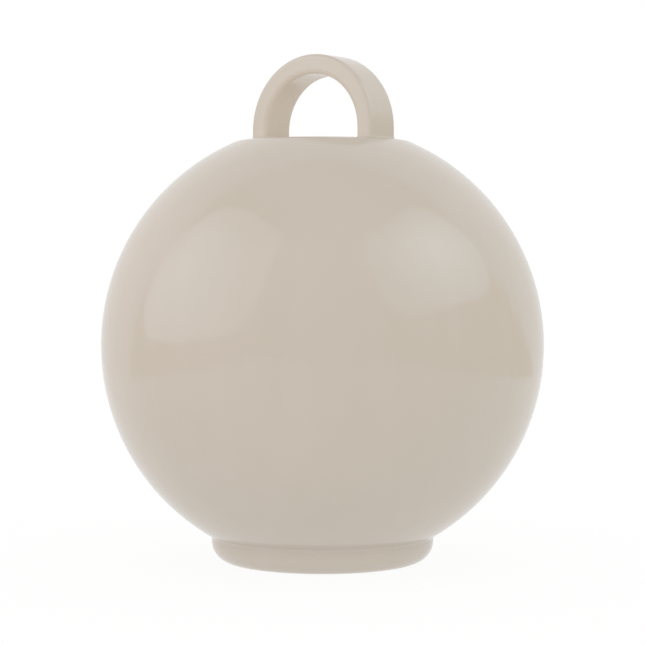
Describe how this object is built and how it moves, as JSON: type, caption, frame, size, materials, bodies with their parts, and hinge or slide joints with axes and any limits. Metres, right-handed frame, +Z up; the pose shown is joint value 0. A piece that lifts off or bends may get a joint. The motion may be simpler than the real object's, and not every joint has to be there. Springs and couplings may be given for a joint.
{
  "type": "balloon weight",
  "caption": "Ball-shaped balloon weight: glossy beige shell with a flat landing and a ribbon loop on top, a round foot below and a cast ballast inside.",
  "frame": {"origin": "centre of the foot's underside, on the surface that the weight stands on", "axes": "+Z up, along the ball's axis; the ribbon loop stands in the XZ plane, with its opening along Y"},
  "size_m": [0.055, 0.055, 0.063],
  "materials": {
    "shell_plastic": "gloss",
    "plug_plastic": "satin",
    "ballast_mortar": "matte"
  },
  "bodies": {
    "root": {"upper_shell": "shell_plastic", "lower_shell": "shell_plastic", "base_plug": "plug_plastic", "ballast": "ballast_mortar"}
  },
  "joints": []
}
